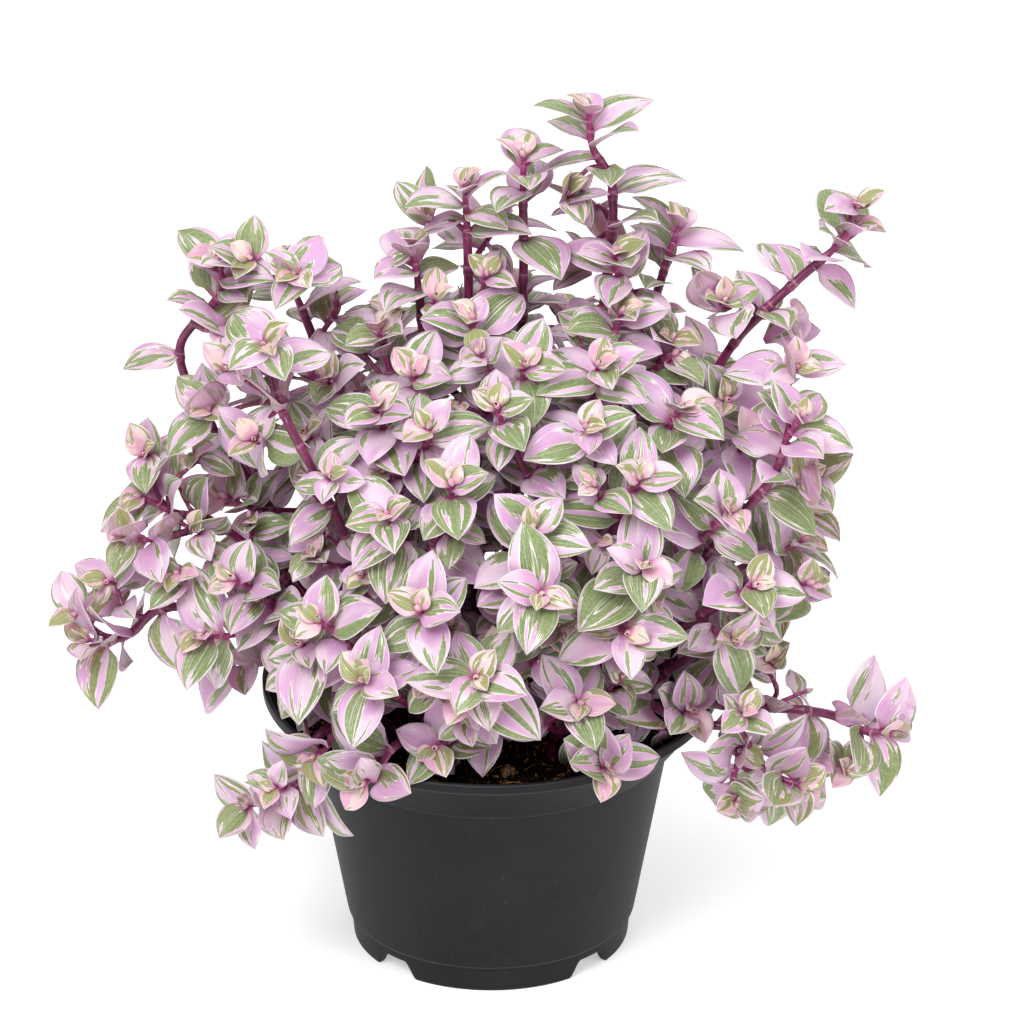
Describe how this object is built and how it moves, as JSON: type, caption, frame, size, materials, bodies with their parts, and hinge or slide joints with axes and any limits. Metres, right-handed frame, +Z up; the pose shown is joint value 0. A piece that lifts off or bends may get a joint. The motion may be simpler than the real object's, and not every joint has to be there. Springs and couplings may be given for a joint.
{
  "type": "potted tradescantia",
  "caption": "Bushy trailing house plant with small striped pink and green leaves on jointed maroon stems, standing in soil in a round tapered nursery pot.",
  "frame": {"origin": "middle of the whole plant's footprint, on the surface that the pot stands on", "axes": "+Z up; the front, as pictured, is toward -Y, and +X is to its right"},
  "size_m": [0.2822, 0.2172, 0.2941],
  "materials": {
    "pot": "fine matte black moulded plastic",
    "soil": "dark crumbly peat and bark compost with golden-brown fibres",
    "foliage": "satin leaves striped sage green, lilac pink and cream, magenta below, on maroon stems"
  },
  "bodies": {
    "root": {"pot": "pot", "soil": "soil", "stem_arch_left": "foliage", "stem_back_1": "foliage", "stem_back_10": "foliage", "stem_back_11": "foliage", "stem_back_12": "foliage", "stem_back_2": "foliage", "stem_back_3": "foliage", "stem_back_4": "foliage", "stem_back_5": "foliage", "stem_back_6": "foliage", "stem_back_7": "foliage", "stem_back_8": "foliage", "stem_back_9": "foliage", "stem_chest_left": "foliage", "stem_crest": "foliage", "stem_crest_back": "foliage", "stem_crest_left": "foliage", "stem_crest_right": "foliage", "stem_crown": "foliage", "stem_crown_left": "foliage", "stem_crown_right": "foliage", "stem_face_centre": "foliage", "stem_face_left": "foliage", "stem_face_right": "foliage", "stem_face_top": "foliage", "stem_far_left": "foliage", "stem_flank_left": "foliage", "stem_low_right": "foliage", "stem_right_arm": "foliage", "stem_right_branch": "foliage", "stem_rim_front": "foliage", "stem_rim_front_left": "foliage", "stem_rim_front_right": "foliage", "stem_rim_left": "foliage", "stem_shoulder_left": "foliage", "stem_shoulder_right": "foliage", "stem_side_left": "foliage", "stem_side_right": "foliage", "stem_skirt_1": "foliage", "stem_skirt_10": "foliage", "stem_skirt_11": "foliage", "stem_skirt_2": "foliage", "stem_skirt_3": "foliage", "stem_skirt_4": "foliage", "stem_skirt_5": "foliage", "stem_skirt_6": "foliage", "stem_skirt_7": "foliage", "stem_skirt_8": "foliage", "stem_skirt_9": "foliage", "stem_spill_left": "foliage", "stem_top_left": "foliage", "stem_trail_low": "foliage", "stem_trail_right": "foliage", "stem_upper_left": "foliage", "stem_upper_mid": "foliage", "stem_upper_right": "foliage", "stem_waist": "foliage", "stem_waist_left": "foliage"}
  },
  "joints": []
}
